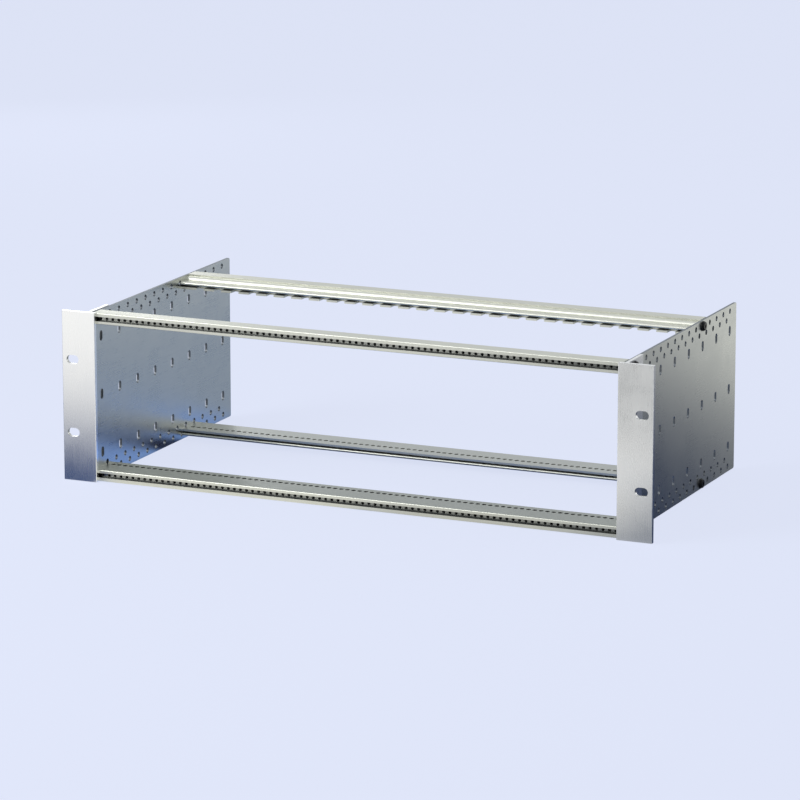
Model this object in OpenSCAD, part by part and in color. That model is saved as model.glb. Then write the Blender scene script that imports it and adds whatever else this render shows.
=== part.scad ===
// Open card cage for a rack: two perforated side panels, four cross rails with
// threaded strips, two mounting brackets and the screws that hold them.
// Millimetres, +Z up, front towards -Y, origin at the middle of the footprint.

/* [Rack face] */
// Width unit, the pitch of modules and of every hole along the rails
hp = 5.08; // [4.9:0.01:5.3]
// Width units across the card opening
hp_count = 84; // [42:2:96]
// Height of a mounting bracket
face_h = 132.55; // [110:0.05:180]
// Width of a mounting flange
flange_w = 27.94; // [25:0.01:36]
// Thickness of a mounting flange
flange_t = 3; // [2.5:0.1:5]
// Distance from a flange's outer edge to the middle of its slots
rack_slot_inset = 8.75; // [7:0.05:11]
// Height between the two slots of a flange
rack_slot_span = 57.15; // [44.45:0.05:76]
// Length of a rack slot
rack_slot_l = 10.3; // [8:0.1:12]
// Height of a rack slot
rack_slot_h = 6.8; // [5.5:0.1:7.5]
// Rounding of a flange's long front edges
flange_round = 0.5; // [0.2:0.1:1]

/* [Bracket leg] */
// Thickness of the leg along the side panel
leg_t = 2.5; // [2:0.1:4]
// Reach of the leg behind the flange
leg_l = 30; // [20:0.5:45]
// Fillet between leg and flange
leg_fillet = 1.5; // [0.5:0.1:3]

/* [Side panels] */
// Distance from the card opening's edge to the side panel
side_gap = 2.54; // [1:0.01:4]
// Thickness of a side panel
panel_t = 2; // [1.2:0.1:3]
// Depth of a side panel
panel_d = 237; // [190:1:320]
// Distance that a panel stays back from a bracket's ends
panel_inset = 0.7; // [0.4:0.1:0.8]
// Corner rounding of a panel
panel_round = 1.5; // [0.5:0.1:4]

/* [Side panel holes] */
// Pitch of the round holes along the panel
grid = 15; // [10:0.5:16]
// Diameter of a round hole
hole_d = 4.2; // [4.1:0.05:4.8]
// Height from the row of the rail screws to the staggered row
stagger_h = 6.3; // [5.5:0.1:8]
// Width of a vertical slot
slot_w = 4.6; // [3:0.1:6]
// Height of a vertical slot
slot_h = 8; // [7:0.1:12]
// Height from the row of the rail screws to the outer slot rows
slot_row_h = 15.6; // [14.5:0.1:30]
// Least distance from a hole's middle to the panel's rear edge
hole_margin = 8; // [6:0.5:14]

/* [Rails] */
// Distance from a bracket's end to the line of the module screws
screw_line = 5.025; // [4.95:0.005:6]
// Grid steps from the front rail screws to the rear ones
rail_steps = 10; // [6:1:13]
// Depth of a rail
rail_d = 28; // [25:0.1:34]
// Height of a rail
rail_h = 8.9; // [8.7:0.1:10]
// Height of the groove's middle above the rail's outer face
groove_v = 4.65; // [4.5:0.05:4.75]
// Height of the open groove between the lips
groove_h = 3.6; // [3:0.1:4.4]
// Thickness of the lips in front of the strip
lip_t = 3.2; // [2:0.1:3.4]
// Wall thickness of the rail section
wall = 1.6; // [1.2:0.1:1.8]
// Thickness of the ledges behind the strip
ledge_t = 1.4; // [0.8:0.1:1.8]
// Distance from a rail's open face to the middle of its screw channel
channel_u = 12.62; // [11.8:0.01:14]
// Outer radius of the screw channel
channel_r = 3.3; // [3:0.05:3.6]
// Width of the slit along the screw channel
slit_w = 1.4; // [0.8:0.1:1.8]
// Step from a rail's outer face down to its skin behind the channel
skin_step = 3.9; // [3.2:0.1:4.2]
// Diameter of the bead along the skin's inner edge
bead_d = 2.4; // [2:0.1:2.8]
// Rounding of the lips' outer edges
lip_round = 0.8; // [0.3:0.1:1.2]

/* [Rail perforation] */
// Diameter of a card guide hole
guide_hole_d = 3.6; // [2.8:0.1:4]
// Distance from a front rail's inner edge to its card guide holes
guide_edge_front = 7.6; // [4:0.1:9]
// Distance from a rear rail's inner edge to its card guide holes
guide_edge_rear = 10.4; // [9.8:0.1:10.8]
// Width units from one notch of the upper rear rail to the next
notch_units = 3; // [2:1:6]
// Length of a notch
notch_l = 6.4; // [4:0.1:8]
// Depth of a notch
notch_d = 7.4; // [3:0.1:8]

/* [Threaded strips] */
// Height of a strip
strip_h = 5.4; // [4.6:0.1:5.6]
// Thickness of a strip
strip_t = 2.6; // [2:0.1:3]
// Diameter of a threaded hole
thread_d = 2.5; // [2:0.1:3]
// Height of the room for screw tips behind a strip
tip_h = 3.2; // [3.1:0.1:3.8]
// Depth of a grub screw's head below the strip's face
grub_sink = 0.3; // [0:0.1:1]
// Width across the flats of a grub screw's recess
grub_socket_w = 1.3; // [0.9:0.1:1.5]
// Depth of a grub screw's recess
grub_socket_depth = 1.4; // [0.8:0.1:2]

/* [Rail screws] */
// Diameter of the shank
screw_d = 3.9; // [3.5:0.05:4]
// Reach of the shank into the rail
screw_grip = 11; // [8:0.5:16]
// Chamfer at the shank's tip
tip_chamfer = 0.5; // [0.2:0.1:1]
// Diameter of the head
head_d = 6.8; // [6.4:0.1:7.6]
// Height of the head above its collar
head_h = 1.6; // [1.4:0.1:2.6]
// Rounding of the head's rim
head_round = 0.6; // [0.3:0.1:1.2]
// Diameter of the collar under the head
collar_d = 7.8; // [7.6:0.1:8.6]
// Thickness of the collar under the head
collar_t = 0.6; // [0.4:0.1:1]
// Width across the flats of the driver recess
socket_w = 2.5; // [2:0.1:3]
// Depth of the driver recess
socket_depth = 1.2; // [0.8:0.1:1.5]

/* [Fits] */
// Play between a screw and its hole, on the radius
screw_play = 0.05; // [0.02:0.01:0.08]
// Play between a strip and its groove, on each side
strip_play = 0.15; // [0.05:0.01:0.15]

/* [Hidden] */
$fn = 48;
over = 1;
opening_w = hp_count * hp;
clear_w = opening_w + 2 * side_gap;
overall_w = opening_w + 2 * flange_w;
overall_d = flange_t + panel_d;
panel_x = clear_w / 2;
leg_x = panel_x + panel_t;
panel_h = face_h - 2 * panel_inset;
front_y = -overall_d / 2;
panel_y = front_y + flange_t;
front_hole_y = panel_y + channel_u;
rear_hole_y = front_hole_y + rail_steps * grid;
low_z = screw_line;
high_z = face_h - screw_line;
screw_hole_d = screw_d + 2 * screw_play;
round_holes = 1 + floor((panel_d - channel_u - hole_margin) / grid);
staggered_holes = 1 + floor((panel_d - channel_u - grid / 2 - hole_margin) / grid);
slot_columns = 1 + floor((round_holes - 1) / 2);
chamber_t = strip_t + 2 * strip_play;
chamber_h = strip_h + 2 * strip_play;
ledge_u = lip_t + chamber_t;
cavity_u = ledge_u + ledge_t;
guide_v = rail_h - wall;
slit_angle = atan2((guide_v + skin_step + wall) / 2 - groove_v, channel_r);
bead_u = rail_d - bead_d / 2;
bead_v = skin_step + wall / 2;
hole_xs = [for (i = [0 : hp_count - 1]) (i - (hp_count - 1) / 2) * hp];
end_xs = [hole_xs[0], hole_xs[hp_count - 1]];
strip_u = lip_t + strip_play;
grub_u = strip_u + grub_sink;
grub_end_u = channel_u - channel_r - screw_play;

// What is left of a square corner at the origin once its edge is rounded.
module corner_waste(r) {
  difference() {
    translate([-over, -over]) square(r + over);
    translate([r, r]) circle(r);
  }
}

// A w by h plate outline from the origin with its four corners rounded.
module rounded_plate(w, h, r) {
  difference() {
    square([w, h]);
    corner_waste(r);
    translate([w, 0]) mirror([1, 0]) corner_waste(r);
    translate([0, h]) mirror([0, 1]) corner_waste(r);
    translate([w, h]) rotate(180) corner_waste(r);
  }
}

// An upright slot outline centred on the origin.
module slot_outline(w, h) {
  straight = h - w;
  translate([-w / 2, -straight / 2]) square([w, straight]);
  for (s = [-1, 1]) translate([0, s * straight / 2]) circle(d = w);
}

// Turns an outline in Y and Z into a solid of length l along +X.
module along_x(l) {
  rotate([90, 0, 90]) linear_extrude(l) children();
}

module on_side(left) {
  mirror([left ? 1 : 0, 0, 0]) children();
}

// Moves a rail's own axes into the cage: X along the rail, Y from its open
// face inwards, Z from its outer face towards the cards.
module in_rail(rear, top) {
  rear_face_y = rear_hole_y + channel_u;
  translate([0, rear ? rear_face_y : panel_y, top ? high_z + groove_v : low_z - groove_v])
    mirror([0, rear ? 1 : 0, 0]) mirror([0, 0, top ? 1 : 0]) children();
}

// ---- side panels ----

module panel_holes() {
  for (z = [low_z, high_z], i = [0 : round_holes - 1])
    translate([front_hole_y + i * grid, z]) circle(d = hole_d);
  for (z = [low_z + stagger_h, high_z - stagger_h], i = [0 : staggered_holes - 1])
    translate([front_hole_y + (i + 0.5) * grid, z]) circle(d = hole_d);
  for (z = [low_z + slot_row_h, face_h / 2, high_z - slot_row_h], i = [0 : slot_columns - 1])
    translate([front_hole_y + 2 * i * grid, z]) slot_outline(slot_w, slot_h);
}

module side_panel(left) {
  color([0.62, 0.65, 0.68]) on_side(left) translate([panel_x, 0, 0]) along_x(panel_t)
    difference() {
      translate([panel_y, panel_inset]) rounded_plate(panel_d, panel_h, panel_round);
      panel_holes();
    }
}

module side_panel_left() side_panel(true);
module side_panel_right() side_panel(false);

// ---- mounting brackets ----

// Section of the right bracket: the flange, the leg behind it and their fillet.
module bracket_section() {
  translate([opening_w / 2, front_y]) difference() {
    square([flange_w, flange_t]);
    corner_waste(flange_round);
    translate([flange_w, 0]) mirror([1, 0]) corner_waste(flange_round);
  }
  translate([leg_x, panel_y]) square([leg_t, leg_l]);
  translate([leg_x + leg_t, panel_y]) difference() {
    square(leg_fillet);
    translate([leg_fillet, leg_fillet]) circle(leg_fillet);
  }
}

module rack_slots() {
  for (s = [-1, 1])
    translate([overall_w / 2 - rack_slot_inset, panel_y + over, face_h / 2 + s * rack_slot_span / 2])
      rotate([90, 0, 0]) linear_extrude(flange_t + 2 * over)
        rotate(90) slot_outline(rack_slot_h, rack_slot_l);
}

module leg_holes() {
  for (z = [low_z, high_z])
    translate([leg_x - over, front_hole_y, z])
      rotate([0, 90, 0]) cylinder(d = hole_d, h = leg_t + 2 * over);
}

module bracket(left) {
  color([0.8, 0.82, 0.84]) on_side(left) difference() {
    linear_extrude(face_h) bracket_section();
    rack_slots();
    leg_holes();
  }
}

module bracket_left() bracket(true);
module bracket_right() bracket(false);

// ---- rails ----

module rail_solids() {
  square([channel_u, rail_h]);
  translate([0, guide_v]) square([rail_d, wall]);
  translate([channel_u, groove_v]) circle(channel_r);
  translate([channel_u, skin_step]) square([bead_u - channel_u, wall]);
  translate([bead_u, bead_v]) circle(d = bead_d);
}

// Room around the screw channel, between the ledges and the rail's web.
module rail_cavity() {
  difference() {
    translate([cavity_u, wall]) square([channel_u - wall - cavity_u, guide_v - wall]);
    translate([channel_u, groove_v]) circle(channel_r);
  }
}

module rail_section() {
  difference() {
    rail_solids();
    translate([-over, groove_v - groove_h / 2]) square([lip_t + 2 * over, groove_h]);
    translate([lip_t, groove_v - chamber_h / 2]) square([chamber_t, chamber_h]);
    difference() {
      translate([lip_t, groove_v - tip_h / 2]) square([channel_u - lip_t, tip_h]);
      translate([channel_u, groove_v]) circle(channel_r);
    }
    rail_cavity();
    translate([channel_u, groove_v]) circle(d = screw_hole_d);
    translate([channel_u, groove_v]) rotate(slit_angle)
      translate([0, -slit_w / 2]) square([channel_r + over, slit_w]);
    corner_waste(lip_round);
    translate([0, rail_h]) mirror([0, 1]) corner_waste(lip_round);
  }
}

module guide_holes(edge) {
  for (x = hole_xs)
    translate([x, rail_d - edge, guide_v - wall / 4]) cylinder(d = guide_hole_d, h = wall + over);
}

module edge_notches() {
  pitch = notch_units * hp;
  last = floor((opening_w / 2 - notch_l) / pitch);
  for (i = [-last : last])
    translate([i * pitch - notch_l / 2, rail_d - notch_d, guide_v - wall / 4])
      cube([notch_l, notch_d + over, wall + over]);
}

module rail(rear, top) {
  color(rear && top ? [0.86, 0.86, 0.8] : [0.78, 0.8, 0.81]) in_rail(rear, top) difference() {
    translate([-panel_x, 0, 0]) along_x(clear_w) rail_section();
    guide_holes(rear ? guide_edge_rear : guide_edge_front);
    if (rear && top) edge_notches();
  }
}

module rail_front_top() rail(false, true);
module rail_front_bottom() rail(false, false);
module rail_rear_top() rail(true, true);
module rail_rear_bottom() rail(true, false);

// ---- threaded strips and their grub screws ----

module strip(rear, top) {
  color([0.72, 0.72, 0.7]) in_rail(rear, top)
    translate([0, strip_u + strip_t, groove_v]) rotate([90, 0, 0]) linear_extrude(strip_t)
      difference() {
        square([opening_w, strip_h], center = true);
        for (x = hole_xs) translate([x, 0]) circle(d = thread_d);
      }
}

module strip_front_top() strip(false, true);
module strip_front_bottom() strip(false, false);
module strip_rear_top() strip(true, true);
module strip_rear_bottom() strip(true, false);

module grub_screws(rear, top) {
  grub_l = grub_end_u - grub_u;
  color([0.25, 0.25, 0.27]) in_rail(rear, top) for (x = end_xs)
    translate([x, grub_end_u, groove_v]) rotate([90, 0, 0]) difference() {
      cylinder(d = thread_d - 2 * screw_play, h = grub_l);
      translate([0, 0, grub_l - grub_socket_depth])
        cylinder(d = grub_socket_w / cos(30), h = grub_socket_depth + over, $fn = 6);
    }
}

module grub_screws_front_top() grub_screws(false, true);
module grub_screws_front_bottom() grub_screws(false, false);
module grub_screws_rear_top() grub_screws(true, true);
module grub_screws_rear_bottom() grub_screws(true, false);

// ---- rail screws ----

// Half outline of the head and its collar, standing on the seat.
module head_half() {
  square([collar_d / 2, collar_t]);
  translate([0, collar_t]) {
    square([head_d / 2 - head_round, head_h]);
    square([head_d / 2, head_h - head_round]);
    translate([head_d / 2 - head_round, head_h - head_round]) circle(head_round);
  }
}

// A screw along Z with its seat at the origin and its shank reaching down by l.
module pan_screw(l) {
  difference() {
    rotate_extrude() head_half();
    translate([0, 0, collar_t + head_h - socket_depth])
      cylinder(d = socket_w / cos(30), h = socket_depth + over, $fn = 6);
  }
  translate([0, 0, tip_chamfer - l]) cylinder(d = screw_d, h = l - tip_chamfer);
  translate([0, 0, -l])
    cylinder(r1 = screw_d / 2 - tip_chamfer, r2 = screw_d / 2, h = tip_chamfer);
}

// The front screws also hold the bracket, so their seat is the bracket's leg.
module rail_screw(rear, top, left) {
  seat_x = rear ? leg_x : leg_x + leg_t;
  color([0.09, 0.09, 0.1]) on_side(left)
    translate([seat_x, rear ? rear_hole_y : front_hole_y, top ? high_z : low_z])
      rotate([0, 90, 0]) pan_screw(seat_x - panel_x + screw_grip);
}

module screw_front_top_left() rail_screw(false, true, true);
module screw_front_top_right() rail_screw(false, true, false);
module screw_front_bottom_left() rail_screw(false, false, true);
module screw_front_bottom_right() rail_screw(false, false, false);
module screw_rear_top_left() rail_screw(true, true, true);
module screw_rear_top_right() rail_screw(true, true, false);
module screw_rear_bottom_left() rail_screw(true, false, true);
module screw_rear_bottom_right() rail_screw(true, false, false);

side_panel_left();
side_panel_right();
bracket_left();
bracket_right();
rail_front_top();
rail_front_bottom();
rail_rear_top();
rail_rear_bottom();
strip_front_top();
strip_front_bottom();
strip_rear_top();
strip_rear_bottom();
grub_screws_front_top();
grub_screws_front_bottom();
grub_screws_rear_top();
grub_screws_rear_bottom();
screw_front_top_left();
screw_front_top_right();
screw_front_bottom_left();
screw_front_bottom_right();
screw_rear_top_left();
screw_rear_top_right();
screw_rear_bottom_left();
screw_rear_bottom_right();
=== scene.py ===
"""Studio scene of an open card cage: metal finishes, tapped strips, camera and light."""
import math

import bpy
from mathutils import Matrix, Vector


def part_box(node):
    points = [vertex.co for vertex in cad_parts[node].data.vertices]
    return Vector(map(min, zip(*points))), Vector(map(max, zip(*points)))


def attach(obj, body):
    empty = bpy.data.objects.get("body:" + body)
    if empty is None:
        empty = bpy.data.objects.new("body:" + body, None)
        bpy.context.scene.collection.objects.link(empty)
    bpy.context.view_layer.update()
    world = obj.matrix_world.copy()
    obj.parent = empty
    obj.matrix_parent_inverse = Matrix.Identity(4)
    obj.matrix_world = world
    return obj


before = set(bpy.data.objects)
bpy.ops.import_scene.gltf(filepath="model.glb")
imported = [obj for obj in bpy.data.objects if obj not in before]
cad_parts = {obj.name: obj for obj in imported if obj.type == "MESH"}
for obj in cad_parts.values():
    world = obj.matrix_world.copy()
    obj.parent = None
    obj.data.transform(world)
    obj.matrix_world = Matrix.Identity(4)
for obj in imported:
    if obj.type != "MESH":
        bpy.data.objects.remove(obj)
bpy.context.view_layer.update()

MM = 0.001
BODY = "root"

# ---- threads in the strips ----

HOLES_PER_STRIP = 84
THREAD_START = 0.15 * MM  # below the strip's face
THREAD_RADIUS = 1.17 * MM
RIDGE_RADIUS = 0.13 * MM
THREAD_TURNS = 3.0
THREAD_LEAD = 0.45 * MM
STEPS_PER_TURN = 8
RIDGE_SIDES = 3


def display(red, green, blue):
    """A colour given as 0-255 display values, as the linear RGBA that shaders take."""
    def linear(value):
        c = value / 255
        return c / 12.92 if c <= 0.04045 else ((c + 0.055) / 1.055) ** 2.4
    return (linear(red), linear(green), linear(blue), 1.0)


# ---- colours ----

BACKGROUND = display(223, 229, 248)
FLOOR_GLOW = display(228, 234, 253)
FILL_LIGHT = display(244, 246, 252)
SKY_LOW = display(196, 199, 202)
SKY_HIGH = display(235, 238, 242)
GROUND_FAR = display(228, 231, 236)
PAINTED_SHADE_BESIDE = display(24, 44, 80)
GROUND_BEHIND = display(252, 253, 250)

# How much of the floor's tone is its own glow where a ray sees it directly.
FLOOR_GLOW_SHARE = 0.86

# Painted shade in reflections: dark ground painted beside the right panel, seen only by the
# metal's reflections; it starts beside the panel and behind the brackets' face, and lightens
# towards the rear along y - BESIDE_SLANT * x.
BESIDE_FROM_X = (0.2165, 0.2175)
BESIDE_FROM_Y = (-0.119, -0.117)
BESIDE_SLANT = 1.2
BESIDE_START = -0.49
BESIDE_LENGTH = 0.6
BESIDE_CURVE = 3.1

# Painted shade: grooves and holes are darkened towards this colour by an occlusion mask.
RECESS_SHADE_COLOUR = display(24, 28, 34)  # the colour deep in grooves and holes
EDGE_RADIUS = 0.35 * MM
EDGE_SHARE = 0.55
EDGE_POLISH = 0.08
CUT_ROUGHNESS = 0.2
BUMP_STRENGTH = 0.35

# How strongly painted shade darkens each rail's recesses and how far that shade reaches,
# and a darker tone painted as shade on the faces turned up of the lower rails (None keeps the
# rail's own tone).
RAIL_FINISHES = {
    "rail_front_top": (0.98, 12 * MM, None),
    "rail_front_bottom": (0.98, 12 * MM, display(166, 170, 164)),
    "rail_rear_top": (0.25, 4 * MM, None),
    "rail_rear_bottom": (0.5, 4 * MM, display(186, 189, 184)),
}

# Painted reflections: soft-edged cards painted on the ground, seen only in the metal's
# reflections and
# laid over each other, dark ones as painted shade near the cage, light ones as painted
# highlights:
# tone, x from and to, y from and to, width of the soft edges in x and y, all in metres.
PAINTED_REFLECTION_CARDS = (
    (display(152, 166, 190), (-0.5, 0.21), (-0.1, 0.9), (0.2, 0.2)),
    (display(132, 168, 238), (-0.24, 0.21), (-0.12, 0.12), (0.08, 0.08)),
    (display(24, 28, 56), (-0.22, 0.22), (-0.005, 0.035), (0.02, 0.02)),
    (display(255, 255, 255), (-1.5, 0.05), (-3.0, -0.12), (0.2, 0.02)),
    (display(122, 126, 130), (-0.05, 0.5), (-1.1, -0.42), (0.12, 0.12)),
    (display(238, 238, 238), (0.05, 0.5), (-0.42, -0.30), (0.06, 0.06)),
    (display(52, 72, 116), (-0.9, -0.215), (-0.31, 0.9), (0.01, 0.38)),
    (display(172, 178, 186), (-1.5, -0.2165), (-0.112, 1.5), (0.004, 0.004)),
    (display(124, 130, 142), (0.17, 0.5), (-0.3, -0.1), (0.08, 0.08)),
    (display(250, 250, 246), (-0.205, 0.0), (-0.25, -0.105), (0.02, 0.02)),
    (display(214, 214, 212), (0.0, 0.19), (-0.25, -0.105), (0.12, 0.02)),
)


# ---- shader helpers ----

class Shader:
    """A node tree with short calls for adding and joining nodes."""

    def __init__(self, tree):
        self.tree = tree
        self.nodes = tree.nodes

    def add(self, kind, **settings):
        node = self.nodes.new(kind)
        for name, value in settings.items():
            setattr(node, name, value)
        return node

    def join(self, source, target):
        self.tree.links.new(source, target)

    def feed(self, target, value):
        """Links an output to a socket, or sets the socket's own value."""
        if isinstance(value, bpy.types.NodeSocket):
            self.join(value, target)
        else:
            target.default_value = value

    def math(self, operation, first, second=0.0, clamp=False):
        node = self.add("ShaderNodeMath", operation=operation, use_clamp=clamp)
        self.feed(node.inputs[0], first)
        self.feed(node.inputs[1], second)
        return node.outputs[0]

    def blend(self, factor, first, second):
        node = self.add("ShaderNodeMix", data_type="RGBA")
        self.feed(node.inputs["Factor"], factor)
        self.feed(node.inputs["A"], first)
        self.feed(node.inputs["B"], second)
        return node.outputs["Result"]

    def spread(self, value, low, high, to_low=0.0, to_high=1.0):
        """Maps a range smoothly onto another one and holds its ends."""
        node = self.add("ShaderNodeMapRange", interpolation_type="SMOOTHSTEP")
        for socket, number in zip(node.inputs, (value, low, high, to_low, to_high)):
            self.feed(socket, number)
        return node.outputs["Result"]

    def place(self, scale=(1, 1, 1)):
        """The point on the object, in metres times scale."""
        where = self.add("ShaderNodeTexCoord")
        mapping = self.add("ShaderNodeMapping")
        mapping.inputs["Scale"].default_value = scale
        self.join(where.outputs["Object"], mapping.inputs["Vector"])
        return mapping.outputs["Vector"]

    def noise(self, scale, detail=2.0, roughness=0.5):
        node = self.add("ShaderNodeTexNoise")
        self.join(self.place(scale), node.inputs["Vector"])
        node.inputs["Scale"].default_value = 1.0
        node.inputs["Detail"].default_value = detail
        node.inputs["Roughness"].default_value = roughness
        return node.outputs["Fac"]


def new_material(name):
    material = bpy.data.materials.new(name)
    material.use_nodes = True
    shader = Shader(material.node_tree)
    return material, shader, shader.nodes["Principled BSDF"]


def edge_mask(shader, radius):
    """1 within about radius of a sharp edge, 0 on the flats."""
    rounded = shader.add("ShaderNodeBevel", samples=4)
    rounded.inputs["Radius"].default_value = radius
    flat = shader.add("ShaderNodeNewGeometry")
    dot = shader.add("ShaderNodeVectorMath", operation="DOT_PRODUCT")
    shader.join(rounded.outputs["Normal"], dot.inputs[0])
    shader.join(flat.outputs["Normal"], dot.inputs[1])
    return shader.spread(dot.outputs["Value"], 0.995, 0.85)


def recess_mask(shader, reach, own):
    """Mask for painted shade: 1 deep in a groove or hole, 0 on open faces; own leaves other
    pieces out of it.
    """
    open_sky = shader.add("ShaderNodeAmbientOcclusion", samples=4, only_local=own)
    open_sky.inputs["Distance"].default_value = reach
    return shader.spread(open_sky.outputs["AO"], 0.85, 0.45)


def facing_up(shader):
    """1 on faces turned up, 0 on the others."""
    flat = shader.add("ShaderNodeNewGeometry")
    parts = shader.add("ShaderNodeSeparateXYZ")
    shader.join(flat.outputs["Normal"], parts.inputs[0])
    return shader.spread(parts.outputs["Z"], 0.6, 0.9)


def cut_mask(shader):
    """1 on a sheet's cut edges and hole walls, 0 on its two faces."""
    flat = shader.add("ShaderNodeNewGeometry")
    parts = shader.add("ShaderNodeSeparateXYZ")
    shader.join(flat.outputs["Normal"], parts.inputs[0])
    return shader.spread(shader.math("ABSOLUTE", parts.outputs["X"]), 0.7, 0.3)


def drawn_metal(name, tone, edge_wear_and_highlight, grain, gloss, metallic=1.0, grain_bump=0.02,
                grain_tone=0.16, recess=0.6, recess_reach=4 * MM, own_recess=True,
                cut=None, top_shade=None):
    """Metal with a drawn or rolled grain, mottling, edges lightened partly as wear and partly
    as a painted highlight, and recesses darkened as painted shade.

    tone is its colour, edge_wear_and_highlight its edges' colour (wear and painted highlight),
    cut the colour of a sheet's cut edges, top_shade a darker colour painted as shade on the
    faces turned up, recess how strongly painted shade darkens the recesses, grain the noise
    scale along X, Y and Z, gloss the lowest and highest roughness.
    """
    material, shader, surface = new_material(name)
    streaks = shader.noise(grain, detail=3.0, roughness=0.65)
    mottle = shader.noise((38, 38, 38), detail=4.0, roughness=0.6)
    lightness = shader.add("ShaderNodeHueSaturation")
    lightness.inputs["Color"].default_value = tone
    patch = shader.math("MULTIPLY_ADD", mottle, 0.10)
    patch.node.inputs[2].default_value = 0.95
    line = shader.math("MULTIPLY_ADD", streaks, grain_tone)
    line.node.inputs[2].default_value = -grain_tone / 2
    shader.join(shader.math("ADD", patch, line), lightness.inputs["Value"])
    edges = edge_mask(shader, EDGE_RADIUS)
    deep = recess_mask(shader, recess_reach, own_recess)
    coloured = lightness.outputs["Color"]
    # Painted shade: faces turned up take the darker tone given for them, as on the lower rails.
    if top_shade:
        coloured = shader.blend(facing_up(shader), coloured, top_shade)
    # Edges lighten towards their edge colour: partly wear, partly a painted highlight.
    coloured = shader.blend(shader.math("MULTIPLY", edges, EDGE_SHARE), coloured, edge_wear_and_highlight)
    rough = shader.spread(shader.math("ADD", streaks, mottle), 0.7, 1.3, *gloss)
    rough = shader.math("SUBTRACT", rough, shader.math("MULTIPLY", edges, EDGE_POLISH))
    if cut:
        sides = cut_mask(shader)
        coloured = shader.blend(sides, coloured, cut)
        rough = shader.math("ADD", rough, shader.math("MULTIPLY", sides, CUT_ROUGHNESS))
    # Painted shade: the recess mask darkens the colour towards the recess shade colour.
    shaded = shader.blend(shader.math("MULTIPLY", deep, recess), coloured, RECESS_SHADE_COLOUR)
    shader.join(shaded, surface.inputs["Base Color"])
    surface.inputs["Metallic"].default_value = metallic
    shader.join(rough, surface.inputs["Roughness"])
    bump = shader.add("ShaderNodeBump")
    bump.inputs["Strength"].default_value = BUMP_STRENGTH
    bump.inputs["Distance"].default_value = grain_bump * MM
    shader.join(streaks, bump.inputs["Height"])
    shader.join(bump.outputs["Normal"], surface.inputs["Normal"])
    return material


def panel_sheet():
    """Passivated sheet, its rolling grain along the panel."""
    return drawn_metal("panel_sheet", tone=display(206, 208, 202), edge_wear_and_highlight=display(214, 217, 214),
                       grain=(900, 30, 2600), gloss=(0.26, 0.35), recess=0.75,
                       recess_reach=6 * MM, cut=display(132, 137, 142))


def bracket_anodised():
    """Clear anodised extrusion, its die lines upright."""
    return drawn_metal("bracket_anodised", tone=display(253, 253, 251),
                       edge_wear_and_highlight=display(253, 253, 252), grain=(2600, 2600, 26),
                       gloss=(0.24, 0.32), grain_bump=0.008, grain_tone=0.05,
                       recess=0.85, recess_reach=10 * MM)


def rail_anodised(name, recess, recess_reach, top_shade):
    """Clear anodised extrusion, its die lines along the rail."""
    return drawn_metal(name, tone=display(214, 215, 204), edge_wear_and_highlight=display(226, 227, 218),
                       grain=(22, 2400, 2400), gloss=(0.34, 0.44), metallic=0.88,
                       recess=recess, recess_reach=recess_reach, top_shade=top_shade)


def strip_zinc():
    """Zinc-plated strip steel with a faint crystalline mottle, darkened as painted shade where
    the rail's lips close over it.
    """
    return drawn_metal("strip_zinc", tone=display(216, 218, 210), edge_wear_and_highlight=display(235, 236, 230),
                       grain=(60, 1500, 1500), gloss=(0.1, 0.18), metallic=0.95,
                       recess=0.8, recess_reach=4.5 * MM, own_recess=False)


def black_oxide():
    """Blackened steel: near-black, oily sheen, rubbed grey at the edges."""
    material, shader, surface = new_material("black_oxide")
    cloud = shader.noise((400, 400, 400), detail=4.0)
    grey = shader.blend(cloud, display(12, 13, 15), display(30, 31, 35))
    edges = edge_mask(shader, 0.25 * MM)
    shader.join(shader.blend(shader.math("MULTIPLY", edges, 0.7), grey, display(110, 112, 118)),
                surface.inputs["Base Color"])
    surface.inputs["Metallic"].default_value = 0.7
    shader.join(shader.spread(cloud, 0.3, 0.7, 0.28, 0.45), surface.inputs["Roughness"])
    bump = shader.add("ShaderNodeBump")
    bump.inputs["Strength"].default_value = 0.3
    bump.inputs["Distance"].default_value = 0.02 * MM
    shader.join(cloud, bump.inputs["Height"])
    shader.join(bump.outputs["Normal"], surface.inputs["Normal"])
    return material


# ---- the frame's own pieces ----

def dress(prefix, material):
    for name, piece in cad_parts.items():
        if name.startswith(prefix):
            for slot in piece.material_slots:
                slot.material = material


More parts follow.
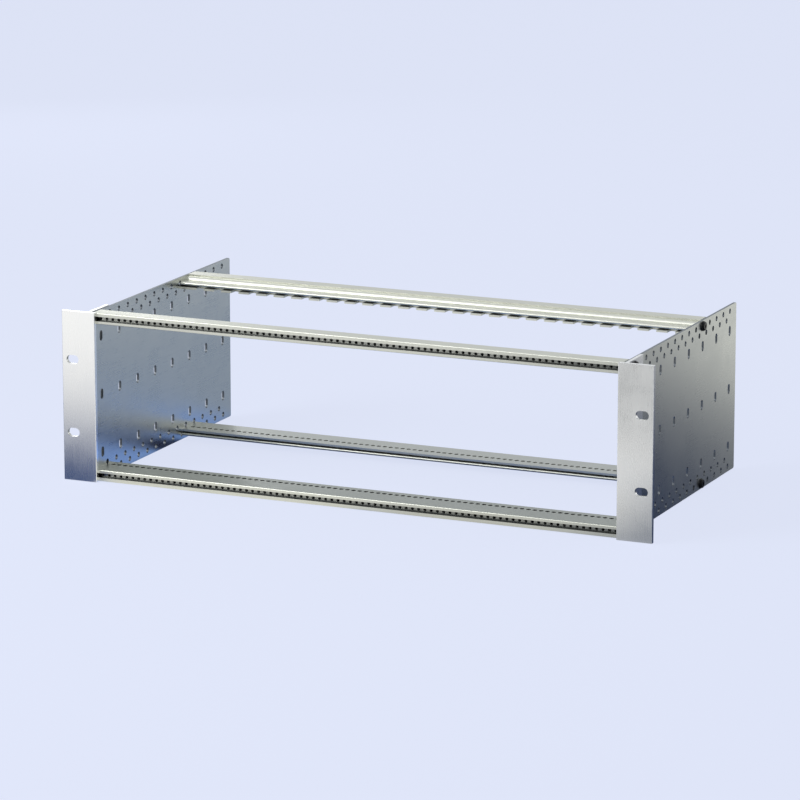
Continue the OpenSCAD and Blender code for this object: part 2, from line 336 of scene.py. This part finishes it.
def thread_row_tree():
    """A row of short helical ridges along X, each wound round the Y axis."""
    tree = bpy.data.node_groups.new("thread_row", "GeometryNodeTree")
    for name, kind in (("Holes", "NodeSocketInt"), ("Pitch", "NodeSocketFloat"),
                       ("First Hole", "NodeSocketVector"), ("Turn", "NodeSocketVector"),
                       ("Thread Radius", "NodeSocketFloat"), ("Ridge Radius", "NodeSocketFloat"),
                       ("Turns", "NodeSocketFloat"), ("Lead", "NodeSocketFloat"),
                       ("Finish", "NodeSocketMaterial")):
        tree.interface.new_socket(name, in_out="INPUT", socket_type=kind)
    tree.interface.new_socket("Threads", in_out="OUTPUT", socket_type="NodeSocketGeometry")
    nodes = Shader(tree)
    sizes = nodes.add("NodeGroupInput").outputs
    helix = nodes.add("GeometryNodeCurveSpiral")
    helix.inputs["Resolution"].default_value = STEPS_PER_TURN
    nodes.join(sizes["Turns"], helix.inputs["Rotations"])
    nodes.join(sizes["Thread Radius"], helix.inputs["Start Radius"])
    nodes.join(sizes["Thread Radius"], helix.inputs["End Radius"])
    nodes.join(nodes.math("MULTIPLY", sizes["Turns"], sizes["Lead"]), helix.inputs["Height"])
    ridge = nodes.add("GeometryNodeCurvePrimitiveCircle", mode="RADIUS")
    ridge.inputs["Resolution"].default_value = RIDGE_SIDES
    nodes.join(sizes["Ridge Radius"], ridge.inputs["Radius"])
    swept = nodes.add("GeometryNodeCurveToMesh")
    nodes.join(helix.outputs["Curve"], swept.inputs["Curve"])
    nodes.join(ridge.outputs["Curve"], swept.inputs["Profile Curve"])
    swept.inputs["Fill Caps"].default_value = True
    turned = nodes.add("GeometryNodeTransform")
    nodes.join(swept.outputs["Mesh"], turned.inputs["Geometry"])
    nodes.join(sizes["Turn"], turned.inputs["Rotation"])
    holes = nodes.add("GeometryNodeMeshLine", mode="OFFSET")
    nodes.join(sizes["Holes"], holes.inputs["Count"])
    nodes.join(sizes["First Hole"], holes.inputs["Start Location"])
    step = nodes.add("ShaderNodeCombineXYZ")
    nodes.join(sizes["Pitch"], step.inputs["X"])
    nodes.join(step.outputs["Vector"], holes.inputs["Offset"])
    placed = nodes.add("GeometryNodeInstanceOnPoints")
    nodes.join(holes.outputs["Mesh"], placed.inputs["Points"])
    nodes.join(turned.outputs["Geometry"], placed.inputs["Instance"])
    real = nodes.add("GeometryNodeRealizeInstances")
    nodes.join(placed.outputs["Instances"], real.inputs["Geometry"])
    finished = nodes.add("GeometryNodeSetMaterial")
    nodes.join(real.outputs["Geometry"], finished.inputs["Geometry"])
    nodes.join(sizes["Finish"], finished.inputs["Material"])
    nodes.join(finished.outputs["Geometry"], nodes.add("NodeGroupOutput").inputs["Threads"])
    return tree


def grow(name, tree, values):
    """A plain mesh object made by a node tree with the given input values."""
    piece = bpy.data.objects.new(name, bpy.data.meshes.new(name))
    bpy.context.scene.collection.objects.link(piece)
    maker = piece.modifiers.new("maker", "NODES")
    maker.node_group = tree
    for socket in tree.interface.items_tree:
        if socket.in_out == "INPUT":
            maker[socket.identifier] = values[socket.name]
    evaluated = piece.evaluated_get(bpy.context.evaluated_depsgraph_get())
    mesh = bpy.data.meshes.new_from_object(evaluated)
    piece.modifiers.remove(maker)
    piece.data = mesh
    return piece


def cut_threads(finish):
    """Threads in every strip's free holes; its first and last hold grub screws."""
    tree = thread_row_tree()
    for strip in [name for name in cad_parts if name.startswith("strip")]:
        low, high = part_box(strip)
        pitch = (high.x - low.x) / HOLES_PER_STRIP
        opens_forward = low.y < 0
        face = low.y + THREAD_START if opens_forward else high.y - THREAD_START
        threads = grow("threads" + strip.removeprefix("strip"), tree, {
            "Holes": HOLES_PER_STRIP - 2, "Pitch": pitch,
            "First Hole": (low.x + 1.5 * pitch, face, (low.z + high.z) / 2),
            "Turn": (math.radians(-90 if opens_forward else 90), 0.0, 0.0),
            "Thread Radius": THREAD_RADIUS, "Ridge Radius": RIDGE_RADIUS,
            "Turns": THREAD_TURNS, "Lead": THREAD_LEAD, "Finish": finish})
        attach(threads, BODY)


def dress_cage():
    dress("side_panel", panel_sheet())
    dress("bracket", bracket_anodised())
    for name, (recess, recess_reach, top_shade) in RAIL_FINISHES.items():
        dress(name, rail_anodised(name, recess, recess_reach, top_shade))
    zinc = strip_zinc()
    dress("strip", zinc)
    cut_threads(zinc)
    dress("grub_screws", black_oxide())
    dress("screw_", black_oxide())


# ---- studio ----

def is_seen(shader):
    """Two masks: rays that show the background, whether from the camera, a reflection
    or glass, and of those the reflections."""
    path = shader.add("ShaderNodeLightPath")
    glossy = path.outputs["Is Glossy Ray"]
    beyond = shader.math("MAXIMUM", glossy, path.outputs["Is Transmission Ray"])
    return shader.math("MAXIMUM", path.outputs["Is Camera Ray"], beyond), glossy


def card_mask(shader, x, y, across, along, soft):
    """1 on a card from across[0] to across[1] and along[0] to along[1], fading at its edges."""
    mask = 1.0
    for place, (start, end), fade in ((x, across, soft[0]), (y, along, soft[1])):
        for edge, inwards in ((start, fade / 2), (end, -fade / 2)):
            side = shader.spread(place, edge - inwards, edge + inwards)
            mask = shader.math("MULTIPLY", side, mask)
    return mask


def painted_ground_reflection(shader):
    """Painted reflections of the ground, seen only by reflection rays: the cards, and painted
    shade beside the right panel.
    """
    parts = shader.add("ShaderNodeSeparateXYZ")
    shader.join(shader.place(), parts.inputs[0])
    x, y = parts.outputs["X"], parts.outputs["Y"]
    tone = GROUND_FAR
    for colour, across, along, soft in PAINTED_REFLECTION_CARDS:
        tone = shader.blend(card_mask(shader, x, y, across, along, soft), tone, colour)
    rearwards = shader.math("SUBTRACT", y, shader.math("MULTIPLY", x, BESIDE_SLANT))
    rise = shader.math("DIVIDE", shader.math("SUBTRACT", rearwards, BESIDE_START),
                       BESIDE_LENGTH, clamp=True)
    beside = shader.blend(shader.math("POWER", rise, BESIDE_CURVE), PAINTED_SHADE_BESIDE, GROUND_BEHIND)
    is_beside = shader.math("MULTIPLY", shader.spread(x, *BESIDE_FROM_X),
                            shader.spread(y, *BESIDE_FROM_Y))
    return shader.blend(is_beside, tone, beside)


def mirrored_sky(shader):
    """What the metal mirrors of the sky: grey low down, bright overhead."""
    where = shader.add("ShaderNodeTexCoord")
    parts = shader.add("ShaderNodeSeparateXYZ")
    shader.join(where.outputs["Generated"], parts.inputs[0])
    return shader.blend(shader.spread(parts.outputs["Z"], 0.0, 0.5), SKY_LOW, SKY_HIGH)


def lay_floor(half=30.0, drop=0.0005):
    """A wide pale floor that keeps the cage's shadow and shows the painted reflection cards in
    reflections.
    """
    mesh = bpy.data.meshes.new("floor")
    corners = [(-half, -half, -drop), (half, -half, -drop),
               (half, half, -drop), (-half, half, -drop)]
    mesh.from_pydata(corners, [], [(0, 1, 2, 3)])
    floor = bpy.data.objects.new("floor", mesh)
    bpy.context.scene.collection.objects.link(floor)
    material = bpy.data.materials.new("floor_paint")
    material.use_nodes = True
    shader = Shader(material.node_tree)
    shader.nodes.clear()
    seen, glossy = is_seen(shader)
    glow = shader.add("ShaderNodeEmission")
    shader.join(shader.blend(glossy, FLOOR_GLOW, painted_ground_reflection(shader)), glow.inputs["Color"])
    paint = shader.add("ShaderNodeBsdfDiffuse")
    paint.inputs["Color"].default_value = BACKGROUND
    mix = shader.add("ShaderNodeMixShader")
    glow_share = shader.math("MULTIPLY", seen, FLOOR_GLOW_SHARE)
    flat_share = shader.math("MAXIMUM", glow_share, glossy)
    shader.join(flat_share, mix.inputs["Fac"])
    shader.join(paint.outputs[0], mix.inputs[1])
    shader.join(glow.outputs[0], mix.inputs[2])
    output = shader.add("ShaderNodeOutputMaterial")
    shader.join(mix.outputs[0], output.inputs["Surface"])
    mesh.materials.append(material)


def light_sky(fill=0.55):
    world = bpy.data.worlds.new("studio")
    world.use_nodes = True
    shader = Shader(world.node_tree)
    shader.nodes.clear()
    seen, glossy = is_seen(shader)
    shown = shader.add("ShaderNodeBackground")
    shader.join(shader.blend(glossy, BACKGROUND, mirrored_sky(shader)), shown.inputs["Color"])
    lit = shader.add("ShaderNodeBackground")
    lit.inputs["Color"].default_value = FILL_LIGHT
    lit.inputs["Strength"].default_value = fill
    mix = shader.add("ShaderNodeMixShader")
    shader.join(seen, mix.inputs["Fac"])
    shader.join(lit.outputs[0], mix.inputs[1])
    shader.join(shown.outputs[0], mix.inputs[2])
    output = shader.add("ShaderNodeOutputWorld")
    shader.join(mix.outputs[0], output.inputs["Surface"])
    bpy.context.scene.world = world


def softbox(name, at, aim, width, height, watts, colour=(1, 1, 1)):
    lamp = bpy.data.lights.new(name, "AREA")
    lamp.shape = "RECTANGLE"
    lamp.size = width
    lamp.size_y = height
    lamp.energy = watts
    lamp.color = colour
    box = bpy.data.objects.new(name, lamp)
    at = Vector(at)
    box.location = at
    box.rotation_euler = (Vector(aim) - at).to_track_quat("-Z", "Y").to_euler()
    box.visible_camera = False
    bpy.context.scene.collection.objects.link(box)


def light_studio():
    light_sky()
    softbox("key", (-0.95, -1.1, 1.0), (0, 0, 0.06), 0.9, 0.8, 12)
    softbox("back_left", (-1.1, 1.4, 0.42), (-0.2, 0, 0.06), 0.4, 0.4, 1.0)
    softbox("rear_right", (1.2, 1.3, 0.5), (0.2, 0.1, 0.1), 0.7, 0.5, 1.5)


def set_camera(azimuth=23.9, elevation=13.0, distance=3.49, lens=204.0,
               aim=(-0.0122, 0.0, 0.0583)):
    """Looks at aim from the front right and a little above, with a long lens."""
    turn, rise = math.radians(azimuth), math.radians(elevation)
    back = Vector((math.sin(turn) * math.cos(rise), -math.cos(turn) * math.cos(rise),
                   math.sin(rise)))
    camera = bpy.data.cameras.new("camera")
    camera.lens = lens
    camera.sensor_width = 36.0
    camera.clip_start = 0.1
    camera.clip_end = 100.0
    eye = bpy.data.objects.new("camera", camera)
    eye.location = Vector(aim) + back * distance
    eye.rotation_euler = (-back).to_track_quat("-Z", "Y").to_euler()
    bpy.context.scene.collection.objects.link(eye)
    bpy.context.scene.camera = eye


def plain_view():
    bpy.context.scene.view_settings.view_transform = "Standard"


set_camera()
dress_cage()
lay_floor()
light_studio()
plain_view()
